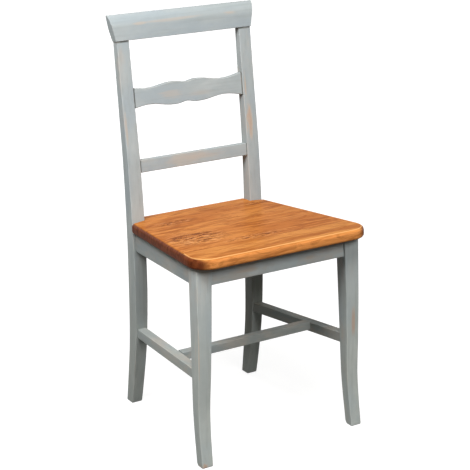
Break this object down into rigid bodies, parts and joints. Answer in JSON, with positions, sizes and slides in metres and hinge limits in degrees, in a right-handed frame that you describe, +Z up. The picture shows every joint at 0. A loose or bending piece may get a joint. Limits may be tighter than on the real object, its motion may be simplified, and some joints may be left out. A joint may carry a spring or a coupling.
{
  "type": "dining chair",
  "caption": "Painted wooden dining chair with sabre back posts, a rolled crest rail, a shaped slat over a plain one, an H stretcher and a varnished plank seat on mortised aprons.",
  "frame": {"origin": "on the floor under the middle of the chair's bounding box", "axes": "+X to the right seen from the front, +Y towards the chair's back (the front faces -Y), +Z up"},
  "size_m": [0.4352, 0.4406, 0.8981],
  "materials": {
    "painted_wood": "grey-blue satin paint, rubbed to bare wood at the arrises",
    "seat_wood": "satin varnish over streaky orange-brown wood",
    "seat_wood_pale": "satin varnish over paler wood",
    "bare_wood": "unfinished planed wood",
    "steel": "plain zinc-plated screws"
  },
  "bodies": {
    "root": {"crest_rail": "painted_wood", "cross_stretcher": "painted_wood", "front_apron": "painted_wood", "front_left_corner_block": "bare_wood", "front_left_corner_block_screw_1": "steel", "front_left_corner_block_screw_2": "steel", "front_left_seat_screw": "steel", "front_right_corner_block": "bare_wood", "front_right_corner_block_screw_1": "steel", "front_right_corner_block_screw_2": "steel", "front_right_seat_screw": "steel", "left_apron": "painted_wood", "left_back_post": "painted_wood", "left_crest_dowel": "bare_wood", "left_front_leg": "painted_wood", "left_side_stretcher": "painted_wood", "lower_slat": "painted_wood", "rear_apron": "painted_wood", "rear_left_corner_block": "bare_wood", "rear_left_corner_block_screw_1": "steel", "rear_left_corner_block_screw_2": "steel", "rear_left_seat_screw": "steel", "rear_right_corner_block": "bare_wood", "rear_right_corner_block_screw_1": "steel", "rear_right_corner_block_screw_2": "steel", "rear_right_seat_screw": "steel", "right_apron": "painted_wood", "right_back_post": "painted_wood", "right_crest_dowel": "bare_wood", "right_front_leg": "painted_wood", "right_side_stretcher": "painted_wood", "seat_board_1": "seat_wood_pale", "seat_board_2": "seat_wood", "seat_board_3": "seat_wood", "seat_board_4": "seat_wood", "seat_board_5": "seat_wood", "shaped_slat": "painted_wood"}
  },
  "joints": []
}
